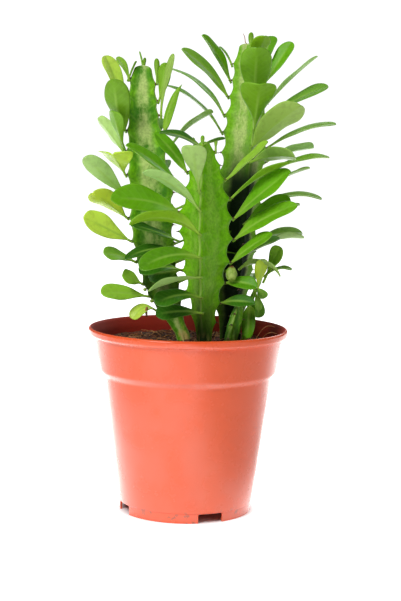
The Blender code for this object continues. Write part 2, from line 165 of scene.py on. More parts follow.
# Each leaf: stem, rib, height of its areole, then azimuth and elevation of its chord, length, width,
# how far it bends over along its length, and its roll about its own midrib. Degrees and mm.
LEAVES = {
    "left_leaf_01": ("stem_left", 0, 260, -131, 62, 40, 13, 10, 10),
    "left_leaf_02": ("stem_left", 0, 247.5, -22, 62, 36.5, 17.5, -45, 0),
    "left_leaf_03": ("stem_left", 0, 232.5, -112, 49, 29.5, 15, 8, -50),
    "left_leaf_04": ("stem_left", 0, 235.5, -21, 53, 30, 12, -10, 15),
    "left_leaf_05": ("stem_left", 0, 219, -34, 42, 21, 28, 15, 0),
    "left_leaf_06": ("stem_left", 0, 205, -60, 40, 39, 13.5, 4, -50),
    "left_leaf_07": ("stem_left", 0, 191, -52, 31, 32, 17, 10, -30),
    "left_leaf_08": ("stem_left", 0, 176, -64, 26, 36, 17.5, 0, 60),
    "left_leaf_09": ("stem_left", 0, 162.5, -60, 15, 23, 11.5, 20, 45),
    "left_leaf_10": ("stem_left", 0, 139.5, -68, 6, 32, 13, 10, 50),
    "left_leaf_11": ("stem_left", 1, 257.5, 28, 67, 42, 6.5, 45, 80),
    "left_leaf_12": ("stem_left", 1, 247, 33, 56, 36.5, 7.5, 45, 75),
    "left_leaf_13": ("stem_left", 1, 235.5, 112, 39, 39.5, 12, 35, 30),
    "left_leaf_14": ("stem_left", 0, 281, -100, 58, 15.5, 7.5, 30, 30),
    "left_leaf_15": ("stem_left", 0, 148, -60, 22, 15, 12, 10, 55),
    "left_leaf_16": ("stem_left", 0, 130, -62, -18, 17, 11, 110, 25),
    "left_leaf_17": ("stem_left", 1, 267, 34, 75, 25, 8.5, -25, 40),
    "front_leaf_01": ("stem_front", 0, 211, -12, 52, 36, 16, 5, 0),
    "front_leaf_02": ("stem_front", 2, 222, -92, 49, 32, 11, 15, 50),
    "front_leaf_03": ("stem_front", 2, 210.5, -62, 35, 48.5, 14, 25, 40),
    "front_leaf_04": ("stem_front", 0, 199.5, -61, 31, 45.5, 13, 35, -25),
    "front_leaf_05": ("stem_front", 2, 196, -65, 9.5, 47, 19.5, 30, 55),
    "front_leaf_06": ("stem_front", 0, 184.5, -66, 7, 47, 14, 68, -35),
    "front_leaf_07": ("stem_front", 2, 170.5, -62, -7, 38, 11, 40, 25),
    "front_leaf_08": ("stem_front", 0, 169, -62, -9, 41, 14, 50, 45),
    "front_leaf_09": ("stem_front", 0, 156, -62, -12, 36, 12, 25, -30),
    "front_leaf_10": ("stem_front", 0, 143, -62, -6, 31, 14, 45, 35),
    "front_leaf_11": ("stem_front", 0, 132.5, -74, -2, 29, 12, 25, 45),
    "front_leaf_12": ("stem_front", 1, 217.5, 62, 41, 38, 11, -5, -40),
    "front_leaf_13": ("stem_front", 1, 205.5, 64, 31, 46, 10.5, 25, 10),
    "front_leaf_14": ("stem_front", 1, 192.5, 66, 40, 49, 18, 10, -50),
    "front_leaf_15": ("stem_front", 1, 179, 66, 29, 48, 15, 25, -50),
    "front_leaf_16": ("stem_front", 1, 164, 64, 35, 34, 13, 15, -45),
    "front_leaf_17": ("stem_front", 1, 150.5, 60, -4, 22, 11, 35, -45),
    "front_leaf_18": ("stem_front", 1, 137.5, 60, 3, 24, 10, 25, -45),
    "front_leaf_19": ("stem_front", 0, 237, -95, 19, 29, 11, 40, 20),
    "front_leaf_20": ("stem_front", 2, 177, -58, 17, 36, 12, 10, 30),
    "front_leaf_21": ("stem_front", 2, 158, -60, -2, 30, 12, 40, 35),
    "front_leaf_23": ("stem_front", 2, 158, -100, -10, 22, 13, 0, 80),
    "front_leaf_22": ("stem_front", 0, 239.5, 80, 17, 15, 5, 10, 20),
    "right_leaf_01": ("stem_right", 0, 281.5, -66, 54, 35, 12, 20, 50),
    "right_leaf_02": ("stem_right", 0, 271, -80, 44, 43, 12, 25, 45),
    "right_leaf_03": ("stem_right", 0, 259, -104, 38, 48, 9, 48, 10),
    "right_leaf_04": ("stem_right", 0, 247.5, -96, 39, 47, 9, 42, 5),
    "right_leaf_05": ("stem_right", 1, 289, 22, 48, 26.5, 13, 0, 0),
    "right_leaf_06": ("stem_right", 1, 268.5, 0, 56, 39, 20.5, 5, 0),
    "right_leaf_07": ("stem_right", 1, 249.5, 3, 44, 41, 23, 5, 0),
    "right_leaf_08": ("stem_right", 2, 279.5, 112, 55, 34, 12, 0, -35),
    "right_leaf_09": ("stem_right", 2, 266.5, 97, 44, 46, 10, 12, 20),
    "right_leaf_10": ("stem_right", 2, 256, 99, 30, 46, 12, 25, -30),
    "right_leaf_11": ("stem_right", 1, 239.5, 54, 36, 44, 23.5, 15, 26),
    "right_leaf_12": ("stem_right", 2, 237.5, 88, 20, 48, 12, 30, -16),
    "right_leaf_13": ("stem_right", 2, 228, 105, 17, 34.5, 13, 30, 28),
    "right_leaf_14": ("stem_right", 1, 229, 54, 7, 33, 15, 30, 40),
    "right_leaf_15": ("stem_right", 2, 219, 92, 16.5, 44.5, 11, 38, -15),
    "right_leaf_16": ("stem_right", 2, 200, 100, 5, 41, 10, 45, -18),
    "right_leaf_17": ("stem_right", 1, 189.5, 78, 27, 32.5, 15, 30, -40),
    "right_leaf_18": ("stem_right", 2, 177, 110, 6, 32, 12, 20, -30),
    "right_leaf_19": ("stem_right", 1, 160, 64, -9, 28, 10, 95, 30),
    "right_leaf_20": ("stem_right", 0, 292, -110, 52, 14, 4, 30, 0),
    "right_leaf_21": ("stem_right", 2, 290, 156, 52, 27, 12, 10, 0),
    "right_leaf_22": ("stem_right", 2, 210, 105, 24, 35, 11, 20, 10),
    "right_leaf_23": ("stem_right", 2, 189, 110, 20, 30, 10, 30, 10),
    "right_leaf_24": ("stem_right", 2, 170, 75, 15, 33, 12, 45, 20),
    "right_leaf_25": ("stem_right", 1, 168, 62, 26, 29, 11, 5, 20),
    "shoot_leaf_01": ("side_shoot", 1, 152, 70, 65, 24.5, 11.5, 0, -68),
    "shoot_leaf_02": ("side_shoot", 0, 135, -20, -80, 21, 9.4, 10, 0),
    "shoot_leaf_03": ("side_shoot", 0, 148, 20, 68, 20, 9, 0, 0),
    "shoot_leaf_04": ("side_shoot", 1, 155.5, 88, 12, 17, 8, 60, -10),
    "shoot_leaf_05": ("side_shoot", 0, 147, 60, -50, 8.5, 7, 20, -40),
    "shoot_leaf_06": ("side_shoot", 0, 144, 50, -74, 12, 5, 20, -40),
    "shoot_leaf_07": ("side_shoot", 1, 142, 10, -84, 15, 9, 0, 0),
    "shoot_leaf_08": ("side_shoot", 2, 147, -60, 5, 7, 4.5, 0, 40),
}


def named(**numbers):
    """Names of leaves from their numbers: left=(3, 6) gives left_leaf_03 and left_leaf_06."""
    return tuple(f"{side}_leaf_{number:02d}" for side, those in numbers.items() for number in those)


# Where a leaf is widest along its length, and how blunt its tip is: a small number is blunter.
SPOON = (0.72, 0.45)
OUTLINES = (
    ((0.82, 0.4), named(left=(4, 5), front=(1,), right=(7,), shoot=(1,))),
    ((0.68, 0.4), named(left=(2,), front=(8,), right=(6,))),
    ((0.66, 0.45), named(right=(11,))),
    (
        (0.62, 0.55),
        named(front=(2, 3, 5, 6, 7, 12, 14, 15, 16, 17, 18, 19), right=(1, 2, 3, 4, 9, 19)),
    ),
    ((0.55, 0.3), named(shoot=(2, 4))),
    ((0.36, 1.2), named(left=(12,))),
)
TIP_DENTS = {"left_leaf_05": 2.2, "left_leaf_07": 3.5}  # mm
LEAF_FOLD = 0.22
LEAF_START = 1.2
LEAF_ROOT = 2.4  # mm that its stalk runs back into the rib
STALK_HALF = 0.75
LEAF_STATIONS = 26
LEAF_ACROSS = (0, 0.05, 0.12, 0.26, 0.45, 0.65, 0.82, 0.94, 1)

# Upper and lower colours of the leaves, in the linear scale of the shader.
TONES = {
    "green": ((0.11, 0.34, 0.004), (0.18, 0.39, 0.012)),
    "bright": ((0.15, 0.44, 0.005), (0.22, 0.46, 0.012)),
    # deep: a darker green, partly the leaves' own colour and partly painted shade for leaves that sit in
    # shadow.
    "deep_and_painted_shade": ((0.035, 0.15, 0.004), (0.05, 0.17, 0.01)),
    "yellow": ((0.6, 0.86, 0.1), (0.54, 0.76, 0.05)),
    "light": ((0.3, 0.58, 0.04), (0.3, 0.5, 0.09)),
    "grey": ((0.2, 0.44, 0.04), (0.42, 0.66, 0.18)),
}
LEAVES_BY_TONE = {
    "bright": named(left=(12, 17), front=(2, 3, 5, 6, 13, 14, 15, 16), right=(1, 5, 8, 17)),
    "deep_and_painted_shade": named(front=(7, 10, 11, 18, 19, 20, 21, 22, 23), right=(25,)),
    "yellow": named(left=(1, 5, 7, 8, 16), shoot=(3, 8)),
    "light": named(left=(10, 11, 14, 15), front=(12,), right=(11, 14), shoot=(1,)),
    "grey": named(
        left=(3, 6, 9, 13), front=(1, 4, 9), right=(2, 9, 10, 12, 13, 15, 16, 18, 19, 24), shoot=(4, 5, 6),
    ),
}

# How bright the floor is to the camera, to the eye in a reflection, and as a light.
FLOOR_SEEN = 1.0
FLOOR_MIRRORED = 3.0
FLOOR_LIGHT = 0.2
WORLD_SEEN = 1.1
WORLD_LIGHT = 0.2

# How strong the painted shade on a stem's far side and right side is, as parts of that on its near side.
BACK_PAINTED_SHADE = 0.3
RIGHT_PAINTED_SHADE = 0.72

BUD_CENTRE = (27.2, -11.4, 157)
BUD_SIZE = (3.7, 3.7, 5)


# ---------------------------------------------------------------------------------------------
# Meshes
# ---------------------------------------------------------------------------------------------


def add_piece(name, points, faces, material, attributes=None, smooth=True):
    """A mesh object from points in mm about the pot's axis, with values per point."""
    mesh = bpy.data.meshes.new(name)
    mesh.from_pydata([tuple(p) for p in (np.asarray(points) + POT_AXIS) * MM], [], faces)
    mesh.materials.append(material)
    for key, values in (attributes or {}).items():
        values = np.asarray(values, np.float32)
        if values.ndim == 2:
            layer = mesh.attributes.new(key, "FLOAT_COLOR", "POINT")
            layer.data.foreach_set("color", np.column_stack([values, np.ones(len(values))]).ravel())
        else:
            layer = mesh.attributes.new(key, "FLOAT", "POINT")
            layer.data.foreach_set("value", values)
    if smooth:
        mesh.shade_smooth()
    obj = bpy.data.objects.new(name, mesh)
    bpy.context.scene.collection.objects.link(obj)
    return obj


def finish_piece(obj, slot, *nodes):
    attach(obj, "root")
    if nodes:
        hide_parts(*nodes)
    return obj


def loft(rings):
    """Faces between rings of equal size, closed at both ends."""
    size = len(rings[0])
    faces = [tuple(range(size))[::-1]]
    for k in range(len(rings) - 1):
        for i in range(size):
            j = (i + 1) % size
            a, b = k * size, (k + 1) * size
            faces.append((a + i, a + j, b + j, b + i))
    last = (len(rings) - 1) * size
    faces.append(tuple(last + i for i in range(size)))
    return np.vstack(rings), faces


def joined(parts):
    """One list of points and one of faces from several."""
    points, faces, start = [], [], 0
    for some_points, some_faces in parts:
        points.append(np.asarray(some_points))
        faces += [tuple(start + i for i in face) for face in some_faces]
        start += len(some_points)
    return np.vstack(points), faces


def tube(path, radii, sides=6):
    """A closed tube along a path, with a radius at each of its points."""
    path = np.asarray(path, float)
    rings = []
    side = None
    for i, (centre, radius) in enumerate(zip(path, radii)):
        along = path[min(i + 1, len(path) - 1)] - path[max(i - 1, 0)]
        along /= np.linalg.norm(along)
        if side is None:
            side = np.cross(along, (0, 0, 1) if abs(along[2]) < 0.9 else (1, 0, 0))
        side = side - along * (side @ along)
        side /= np.linalg.norm(side)
        other = np.cross(along, side)
        turns = [2 * pi * k / sides for k in range(sides)]
        rings.append(np.array([centre + radius * (side * cos(t) + other * sin(t)) for t in turns]))
    return loft(rings)


def lump(centre, size, rough, seed, detail=2):
    """A closed irregular lump round a centre."""
    bpy.ops.mesh.primitive_ico_sphere_add(subdivisions=detail, radius=1)
    ball = bpy.context.object
    points = np.array([v.co for v in ball.data.vertices])
    faces = [tuple(face.vertices) for face in ball.data.polygons]
    mesh = ball.data
    bpy.data.objects.remove(ball)
    bpy.data.meshes.remove(mesh)
    offset = np.array([seed * 3.7, seed * 1.3, seed * 2.1])
    swell = [1 + rough * noise.noise(tuple(p * 1.4 + offset)) for p in points]
    return np.asarray(centre) + points * np.array(swell)[:, None] * np.asarray(size), faces


def rounded(profile, steps=4):
    """A profile of (radius, height, corner radius) with an arc at each inner corner."""
    points = [np.array(p[:2], float) for p in profile]
    made = [points[0]]
    for before, corner, after, (_, _, radius) in zip(points, points[1:], points[2:], profile[1:]):
        to_before, to_after = before - corner, after - corner
        reach = min(radius, 0.45 * np.linalg.norm(to_before), 0.45 * np.linalg.norm(to_after))
        first = corner + to_before / np.linalg.norm(to_before) * reach
        last = corner + to_after / np.linalg.norm(to_after) * reach
        for t in np.linspace(0, 1, steps + 1):
            made.append((1 - t) ** 2 * first + 2 * t * (1 - t) * corner + t**2 * last)
    return made + [points[-1]]


def at_height(stem, z):
    """The stem's axis x and y and the reach of its ribs."""
    sections = np.array(STEMS[stem][1], float)
    return [float(np.interp(z, sections[:, 0], sections[:, i])) for i in (1, 2, 3)]


def rib_point(stem, rib, z, beyond=0):
    x, y, reach = at_height(stem, z)
    a = radians(STEMS[stem][0][rib])
    return np.array([x + (reach + beyond) * sin(a), y - (reach + beyond) * cos(a), z])


def scalloped(stem, rib, z, reach):
    heights = AREOLES[stem][rib]
    nearest = min(abs(z - height) for height in heights)
    spacing = (heights[-1] - heights[0]) / (len(heights) - 1)
    return reach * (1 - SCALLOP[stem] * sin(min(nearest / spacing, 0.5) * pi) ** 0.9)


def smooth_ring(points, times=3):
    """A closed Catmull-Rom curve through points, with times points for each."""
    p0, p1, p2, p3 = (np.roll(points, shift, axis=0) for shift in (1, 0, -1, -2))
    made = []
    for t in np.arange(times) / times:
        made.append(
            0.5 * (2 * p1 + (p2 - p0) * t + (2 * p0 - 5 * p1 + 4 * p2 - p3) * t**2
                   + (3 * p1 - p0 - 3 * p2 + p3) * t**3)
        )
    return np.stack(made, axis=1).reshape(-1, points.shape[1])


def stem_ring(stem, z):
    """Rows of x, y, nearness to a rib's edge and phase between its areoles, once round the stem."""
    x, y, reach = at_height(stem, z)
    azimuths = STEMS[stem][0]
    # How far into the low, rounder part of the stem this ring lies.
    low_part_and_painted_shade = np.clip((ROUND_BELOW - z) / 12, 0, 1)
    rows = []
    for rib in sorted(range(3), key=lambda k: azimuths[k] % 360):
        azimuth = azimuths[rib]
        a = radians(azimuth)
        after = sorted((other - azimuth) % 360 for other in azimuths)[1]
        out = np.array([sin(a), -cos(a)])
        across = np.array([cos(a), sin(a)])
        edge = scalloped(stem, rib, z, reach)
        half = min(RIB_EDGE, 0.2 * reach)
        heights = AREOLES[stem][rib]
        phase = float(np.interp(z, heights, range(len(heights))))
        beyond = max(heights[0] - z, 0) / 12
        phase = phase - beyond
        swell = 1 + 0.35 * max(0, cos(2 * pi * phase)) ** 2
        flank = half + FLANK_SPREAD * reach * swell + low_part_and_painted_shade * 0.2 * reach
        valley = radians(azimuth + after / 2)
        hollow = VALLEY + (0.78 - VALLEY) * low_part_and_painted_shade
        ring = (
            (out * 0.6 * edge - across * flank, 0.55),
            (out * 0.86 * edge - across * (0.45 * half + 0.55 * flank), 0.82),
            (out * 0.97 * edge - across * half, 0.96),
            (out * edge, 1),
            (out * 0.97 * edge + across * half, 0.96),
            (out * 0.86 * edge + across * (0.45 * half + 0.55 * flank), 0.82),
            (out * 0.6 * edge + across * flank, 0.55),
            (np.array([sin(valley), -cos(valley)]) * hollow * reach, 0),
        )
        rows += [(x + p[0], y + p[1], nearness, phase) for p, nearness in ring]
    return smooth_ring(np.array(rows))


def stem_piece(name, material):
    sections = STEMS[name][1]
    foot, tip = sections[0][0], sections[-1][0]
    rings, nearness, phases = [], [], []
    for z in np.linspace(foot, tip, round((tip - foot) / STEM_STEP)):
        ring = stem_ring(name, z)
        rings.append(np.column_stack([ring[:, :2], np.full(len(ring), z)]))
        nearness.append(ring[:, 2])
        phases.append(ring[:, 3])
    x, y, reach = at_height(name, tip)
    top = rings[-1]
    centre = np.array([x, y, tip])
    for size, rise in ((0.86, 0.16), (0.6, 0.27), (0.25, 0.33)):
        rings.append(centre + (top - centre) * size + (0, 0, rise * reach))
        nearness.append(nearness[-1] * 0.5)
        phases.append(phases[-1])
    points, faces = loft(rings)
    for i, p in enumerate(points):
        bump = noise.fractal(tuple(p * 0.16), 1, 2, 3)
        wobble = noise.noise_vector(tuple(p * 0.05))
        points[i] = p + 0.22 * bump * np.array([1, 1, 0]) + 0.5 * np.array([wobble.x, wobble.y, 0])
    values = {"nearness": np.concatenate(nearness), "phase": np.concatenate(phases)}
    return finish_piece(add_piece(name + "_body", points, faces, material, values), "stem", name)


def spine(base, out, across, sign, length):
    """One curved spine that leaves its cushion to one side and a little down."""
    lean = across * sign
    down = np.array([0, 0, -1])
    path = [base + (out * 0.75 + lean * 0.55 + down * 0.25 * t) * length * t for t in (0, 0.35, 0.7, 1)]
    return tube(path, (0.32, 0.24, 0.14, 0.03), 5)


def spines_piece(name, material, rng):
    """The stem's cushions, each with its pair of spines."""
    parts = []
    for rib, heights in enumerate(AREOLES[name]):
        a = radians(STEMS[name][0][rib])
        out = np.array([sin(a), -cos(a), 0])
        across = np.array([cos(a), sin(a), 0])
        for z in heights:
            at = rib_point(name, rib, z, -0.25)
            parts.append(lump(at, (0.85, 0.85, 0.7), 0.5, z, 1))
            for sign in (-1, 1):
                parts.append(spine(at, out, across, sign * rng.uniform(0.7, 1.3), rng.uniform(2.2, 3.6)))
    points, faces = joined(parts)
    return finish_piece(add_piece(name + "_spines", points, faces, material), "stem")


def leaf_frames(start, azimuth, elevation, length, bend, roll, twist, stations):
    """(centre, side, upper normal) at each station of a leaf that bends evenly."""
    a = radians(azimuth)
    level = np.array([sin(a), -cos(a), 0])
    up = np.array([0, 0, 1])
    side = np.array([-cos(a), -sin(a), 0])
    arc = length / np.sinc(radians(bend) / 2 / pi)
    centre, last, frames = np.array(start, float), 0, []
    for t in stations:
        middle = radians(elevation + bend * (0.5 - (t + last) / 2))
        centre = centre + (t - last) * arc * (level * cos(middle) + up * sin(middle))
        e = radians(elevation + bend * (0.5 - t))
        r = radians(roll + twist * (t - 0.5))
        normal = np.cross(side, level * cos(e) + up * sin(e))
        frames.append((centre, side * cos(r) + normal * sin(r), normal * cos(r) - side * sin(r)))
        last = t
    return frames


def leaf_half(outline, t):
    """Half the leaf's width at t, as a part of its greatest half width."""
    widest, blunt = outline
    slim = blunt * widest / (1 - widest)
    return (t / widest) ** slim * ((1 - t) / (1 - widest)) ** blunt


def leaf_section(t, half, fold, waves):
    """Rows of across, sideways mm, upward mm and 1 on the upper side, once round the leaf."""
    stalk = np.clip(1 - t / 0.28, 0, 1) ** 1.5
    thick = 0.95 + 0.45 * stalk
    rows = []
    for upper in (0, 1):
        steps = [-u for u in LEAF_ACROSS[::-1]] + list(LEAF_ACROSS[1:])
        steps = steps[1:] if upper else steps[::-1][1:]
        for u in steps:
            lift = fold * half * ((u * u + 0.02) ** 0.5 - 0.14) * (1 - stalk)
            lift += half * 0.07 * u * abs(u) * sin(2 * pi * (1.3 * t + waves[0]))
            lift += half * 0.05 * u * u * sin(2 * pi * (1.9 * t + waves[1]))
            depth = thick / 2 * (1 - abs(u) ** 5) ** 0.5
            near = np.exp(-((u * half / 0.6) ** 2)) * (1 - stalk)
            height = lift + depth - 0.14 * near if upper else lift - depth - 0.34 * near * (1 - t)
            rows.append((u, u * half, height, 0.5 if abs(u) == 1 else upper))
    return np.array(rows)


def leaf_piece(name, spec, material, tone, rng):
    stem, rib, height, azimuth, elevation, length, width, bend, roll = spec
    outline = next((outline for outline, names in OUTLINES if name in names), SPOON)
    dent = TIP_DENTS.get(name, 0)
    spaced = np.linspace(0, 1, LEAF_STATIONS)
    stations = np.concatenate([[-LEAF_ROOT / length], 1 - (1 - spaced) ** 1.4])
    start = rib_point(stem, rib, height, LEAF_START)
    frames = leaf_frames(start, azimuth, elevation, length, bend, roll, rng.uniform(-12, 12), stations)
    waves = rng.uniform(0, 1, 2)
    fold = LEAF_FOLD * rng.uniform(0.8, 1.5)
    rings, across, along, upper, from_rib = [], [], [], [], []
    for t, (centre, side, normal) in zip(stations, frames):
        t = min(max(t, 0), 0.998)
        half = max(width / 2 * leaf_half(outline, t), STALK_HALF * (1 - t) ** 0.5)
        rows = leaf_section(t, half, fold, waves)
        back = np.cross(side, normal) * dent * t**6
        rings.append(
            centre + rows[:, 1:2] * side + rows[:, 2:3] * normal + (1 - abs(rows[:, 0:1])) ** 1.5 * back
        )
        across.append(rows[:, 0])
        from_rib.append(abs(rows[:, 1]))
        along.append(np.full(len(rows), t))
        upper.append(rows[:, 3])
    points, faces = loft(rings)
    shade = rng.uniform(0.9, 1.12)
    warm = rng.uniform(-0.06, 0.06)
    tones = np.array(TONES[tone]) * shade * np.array([1 + warm, 1, 1 - warm])
    upper = np.concatenate(upper)
    values = {
        "across": np.concatenate(across),
        "along": np.concatenate(along),
        "from_rib": np.concatenate(from_rib),
        "upper": upper,
        "tone": tones[0] * upper[:, None] + tones[1] * (1 - upper[:, None]),
    }
    nodes = (name,) if name in frame["nodes"] else ()
    return finish_piece(add_piece(name + "_blade", points, faces, material, values), "leaf", *nodes)


def rear_leaves():
    """Leaves for the ribs that face away, in the same form as LEAVES."""
    made = {}
    rows = (
        ("stem_left", 2, AREOLES["stem_left"][2][1:9], 180, 14, 40),
        ("stem_left", 1, (150, 163, 175, 197), 112, 3, 8),
        ("stem_right", 0, AREOLES["stem_right"][0][2:7], 178, 8, 40),
        ("stem_right", 2, (144, 247), 165, 10, 20),
    )
    for stem, rib, heights, azimuth, swing, rise in rows:
        for k, z in enumerate(heights):
            high = (z - 130) / 150
            made[f"rear_leaf_{len(made) + 1:02d}"] = (
                stem, rib, z, azimuth + swing * (-1) ** k, 5 + rise * high,
                42 - 14 * high**2, 13.5 - 3 * high, 35 - 20 * high, 12 * (-1) ** k,
            )
    return made


def tip_leaves():
    """The young leaves round the stems' tips."""
    made = {}
    rows = (
        ("stem_left", 2, 285, -90, 78, 14, 3.4), ("stem_left", 0, 281, 85, 66, 12, 3),
        ("stem_left", 1, 279, -10, 80, 15, 3.8), ("stem_left", 2, 286, 20, 74, 9, 2.4),
        ("stem_front", 0, 238, 10, 82, 7.5, 2.6), ("stem_front", 1, 236, 0, 80, 8, 2.4),
        ("stem_front", 2, 237, -40, 76, 7, 2.2), ("stem_right", 1, 301, 10, 86, 11, 3.6),
        ("stem_right", 2, 301, 120, 70, 7, 2.6), ("side_shoot", 0, 157, -10, 80, 7, 3),
    )
    for stem, rib, z, azimuth, elevation, length, width in rows:
        made[f"tip_leaf_{len(made) + 1:02d}"] = (stem, rib, z, azimuth, elevation, length, width, 10, 0)
    return made


# ---------------------------------------------------------------------------------------------
# The pot and its soil
# ---------------------------------------------------------------------------------------------


def circle(radius, height, steps):
    """Points once round the pot's axis."""
    angles = np.arange(steps) * 2 * pi / steps
    return np.column_stack([radius * np.sin(angles), -radius * np.cos(angles), np.full(steps, height)])


def turned_faces(rings):
    """Points and faces of a solid from its rings, from the middle of its top to that of its underside."""
    steps = len(rings[0])
    faces = [tuple(range(steps))]
    for k in range(len(rings) - 1):
        for i in range(steps):
            j = (i + 1) % steps
            a, b = k * steps, (k + 1) * steps
            faces.append((a + i, b + i, b + j, a + j))
    last = (len(rings) - 1) * steps
    faces.append(tuple(last + i for i in range(steps))[::-1])
    return np.vstack(rings), faces


def cutter(maker, middle, size, turn=0):
    maker(location=(np.asarray(middle) + POT_AXIS) * MM, rotation=(0, 0, turn))
    obj = bpy.context.object
    obj.scale = [side * MM for side in size]
    bpy.ops.object.transform_apply(location=False, rotation=False, scale=True)
    return obj


def cut_and_remove(obj, cutters):
    for other in cutters:
        boolean = obj.modifiers.new("cut", "BOOLEAN")
        boolean.operation = "DIFFERENCE"
        boolean.solver = "EXACT"
        boolean.object = other
    graph = bpy.context.evaluated_depsgraph_get()
    mesh = bpy.data.meshes.new_from_object(obj.evaluated_get(graph))
    obj.modifiers.clear()
    obj.data = mesh
    for other in cutters:
        bpy.data.objects.remove(other)


def pot_piece(material):
    foot = POT_OUTSIDE[-1][0] - FOOT_WALL
    profile = [(0.01, BASE_TOP, 0)] + list(POT_INSIDE)[::-1] + list(POT_OUTSIDE)
    profile += [(foot, 0, 0.3), (foot, BASE_UNDERSIDE, 0.4), (0.01, BASE_UNDERSIDE, 0)]
    points, faces = turned_faces([circle(radius, height, POT_STEPS) for radius, height in rounded(profile)])
    obj = add_piece("pot_shell", points, faces, material)
    cutters = []
    for azimuth in NOTCH_AZIMUTHS:
        a = radians(azimuth)
        out = np.array([sin(a), -cos(a), 0])
        at = out * (foot + FOOT_WALL / 2)
        notch = cutter(bpy.ops.mesh.primitive_cube_add, at, np.array(NOTCH_SIZE) / 2, a - pi / 2)
        bevel = notch.modifiers.new("corners", "BEVEL")
        bevel.width = NOTCH_CORNER * MM
        bevel.segments = 4
        cutters.append(notch)
        hole = out * DRAIN_CENTRE + (0, 0, BASE_TOP)
        cutters.append(cutter(bpy.ops.mesh.primitive_cylinder_add, hole, (DRAIN_RADIUS, DRAIN_RADIUS, 3)))
    cut_and_remove(obj, cutters)
    obj.data.set_sharp_from_angle(angle=radians(32))
    return finish_piece(obj, "pot", "pot")


def soil_height(x, y):
    """The height of the soil's surface in mm."""
    rough = noise.fractal((x * 0.09, y * 0.09, 3), 0.8, 2.1, 5)
    clods = noise.turbulence((x * 0.035, y * 0.035, 8), 2, False)
    return SOIL_TOP + SOIL_RELIEF * (rough + 0.8 * clods - 0.6)


def soil_piece(material):
    """The peat's rough surface, closed by the pot's inner wall and base."""
    rings = []
    for radius in np.linspace(0.3, SOIL_RADIUS, SOIL_RINGS):
        ring = circle(radius, 0.0, SOIL_STEPS)
        ring[:, 2] = [soil_height(x, y) for x, y, _ in ring]
        rings.append(ring)
    rings += [circle(radius, height, SOIL_STEPS) for radius, height in SOIL_UNDER]
    points, faces = turned_faces(rings)
    return finish_piece(add_piece("soil_body", points, faces, material), "soil", "soil")


def on_soil(rng, most=0.97):
    """A random place on the soil."""
    radius = SOIL_RADIUS * most * rng.uniform(0, 1) ** 0.5
    a = rng.uniform(0, 2 * pi)
    x, y = radius * sin(a), radius * cos(a)
    return np.array([x, y, soil_height(x, y)])


def crumbs_piece(name, material, count, sizes, rng):
    parts = []
    for k in range(count):
        size = rng.uniform(*sizes)
        parts.append(lump(on_soil(rng), size * rng.uniform(0.5, 1.2, 3), 1.0, k * 0.37, 1))
    points, faces = joined(parts)
    return finish_piece(add_piece(name, points, faces, material, smooth=False), "soil")


def fibres_piece(name, material, count, lengths, radius, rng):
    """Thin curved roots and straws that lie on the peat."""
    parts = []
    for _ in range(count):
        start = on_soil(rng, 0.92)
        heading, turn = rng.uniform(0, 2 * pi), rng.uniform(-1.6, 1.6)
        length = rng.uniform(*lengths)
        arch = rng.uniform(0, 0.28) * length
        path = []
        for t in np.linspace(0, 1, 7):
            a = heading + turn * t
            p = start + length * t * np.array([sin(a), cos(a), 0])
            out = np.hypot(p[0], p[1])
            p[:2] *= min(1, SOIL_RADIUS * 0.96 / out)
            p[2] = soil_height(p[0], p[1]) + 0.3 + arch * sin(pi * t)
            path.append(p)
        parts.append(tube(path, [radius * w for w in (0.6, 0.9, 1, 1, 0.9, 0.7, 0.3)], 5))
    points, faces = joined(parts)
    return finish_piece(add_piece(name, points, faces, material), "soil")


def straw_arcs(material):
    """Two long dry roots that arch up from the soil on the right."""
    parts = []
    for start, end, rise in (((43, -2, 111), (57, 3, 121), 5), ((47, 4, 111), (58, 0, 117), 3)):
        path = []
        for t in np.linspace(0, 1, 12):
            p = np.array(start) * (1 - t) + np.array(end) * t
            p[2] += rise * sin(pi * t)
            path.append(p)
        parts.append(tube(path, [0.22] * 11 + [0.1], 6))
    points, faces = joined(parts)
    return finish_piece(add_piece("soil_straws", points, faces, material), "soil")


def leftovers(dry, growth):
    """A broken dry stalk on the left stem, a dried thread on the right one, and two small new growths."""
    stalk = [(-27.2, 0, 133), (-27.6, -0.6, 131), (-27.4, -0.8, 128.6), (-27.2, -0.8, 126.6)]
    thread = [(35.6, 18.5, 303), (33.5, 18, 306), (33, 18, 309.5), (31.8, 17.5, 311.5)]
    parts = [tube(stalk, [0.7, 0.9, 0.8, 0.5], 7), tube(thread, [0.3, 0.3, 0.25, 0.15], 6)]
    points, faces = joined(parts)
    finish_piece(add_piece("dried_stalks", points, faces, dry), "leaf")
    upper = lump((-28.8, 4, 144), (1.3, 1.3, 1.2), 0.3, 1, 2)
    lower = lump((-24, 4, 136.7), (1.5, 1.4, 1.3), 0.3, 4, 2)
    points, faces = joined([upper, lower])
    finish_piece(add_piece("stem_growths", points, faces, growth), "stem")


# ---------------------------------------------------------------------------------------------
# Materials
# ---------------------------------------------------------------------------------------------


